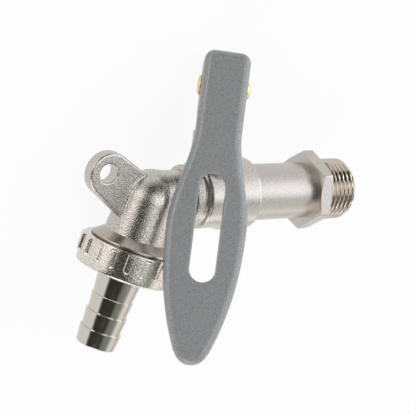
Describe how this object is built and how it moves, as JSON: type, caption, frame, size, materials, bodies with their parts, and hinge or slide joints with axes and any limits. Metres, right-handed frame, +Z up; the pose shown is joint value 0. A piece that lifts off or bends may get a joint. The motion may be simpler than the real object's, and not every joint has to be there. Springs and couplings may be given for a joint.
{
  "type": "lockable rain barrel tap",
  "caption": "Quarter-turn ball tap with a threaded inlet, folding slotted lever, padlock lug and a barbed hose tail under a union nut.",
  "frame": {"origin": "centre of the inlet shoulder, where the inlet thread starts at the hexagon", "axes": "+Y out along the inlet thread towards the barrel, +Z up along the stem, +X to the side that the lever hangs on; the outlet points down and forward at -Y"},
  "size_m": [0.052, 0.1008, 0.0988],
  "materials": {
    "satin_nickel": "cast and turned brass, satin nickel plated",
    "bright_nickel": "turned brass, bright nickel plated",
    "grey_paint": "pressed steel under satin grey paint",
    "bare_brass": "turned bare brass",
    "polished_chrome": "polished plated ball",
    "white_seal": "white fluoropolymer, matt",
    "black_rubber": "black rubber, matt"
  },
  "bodies": {
    "valve_body": {"valve_body": "satin_nickel", "inlet_tailpiece": "bright_nickel", "body_seal_ring": "black_rubber", "inlet_seat": "white_seal", "outlet_seat": "white_seal", "stem_thrust_washer": "white_seal", "lower_packing_ring": "white_seal", "upper_packing_ring": "white_seal", "packing_follower": "bare_brass", "gland_nut": "bright_nickel"},
    "stem": {"stem": "bright_nickel", "ball": "polished_chrome", "stem_seal_ring": "black_rubber"},
    "lever": {"lever": "grey_paint", "lever_pin": "bare_brass"},
    "hose_tail": {"hose_tail": "bright_nickel", "hose_gasket": "black_rubber"},
    "union_nut": {"union_nut": "satin_nickel"}
  },
  "joints": [
    {"name": "stem_turn", "type": "hinge", "parent": "valve_body", "child": "stem", "pos_m": [0, -0.0433, 0], "axis": [0, 0, 1], "range_deg": [0, 33]},
    {"name": "lever_swing", "type": "hinge", "parent": "stem", "child": "lever", "pos_m": [0, -0.0433, 0.0354], "axis": [-0.5446, -0.8387, 0], "range_deg": [0, 100]},
    {"name": "hose_tail_slide", "type": "slide", "parent": "valve_body", "child": "hose_tail", "axis": [0, -0.2689, -0.9632], "range_m": [0, 0.00453]},
    {"name": "union_nut_turn", "type": "hinge", "parent": "hose_tail", "child": "union_nut", "pos_m": [0, -0.0657, 0], "axis": [0, -0.2689, -0.9632], "range_deg": [0, 900]}
  ],
  "couplings": [
    {"joint": "hose_tail_slide", "follows": "union_nut_turn", "m_per_rad": 0.0002887}
  ]
}
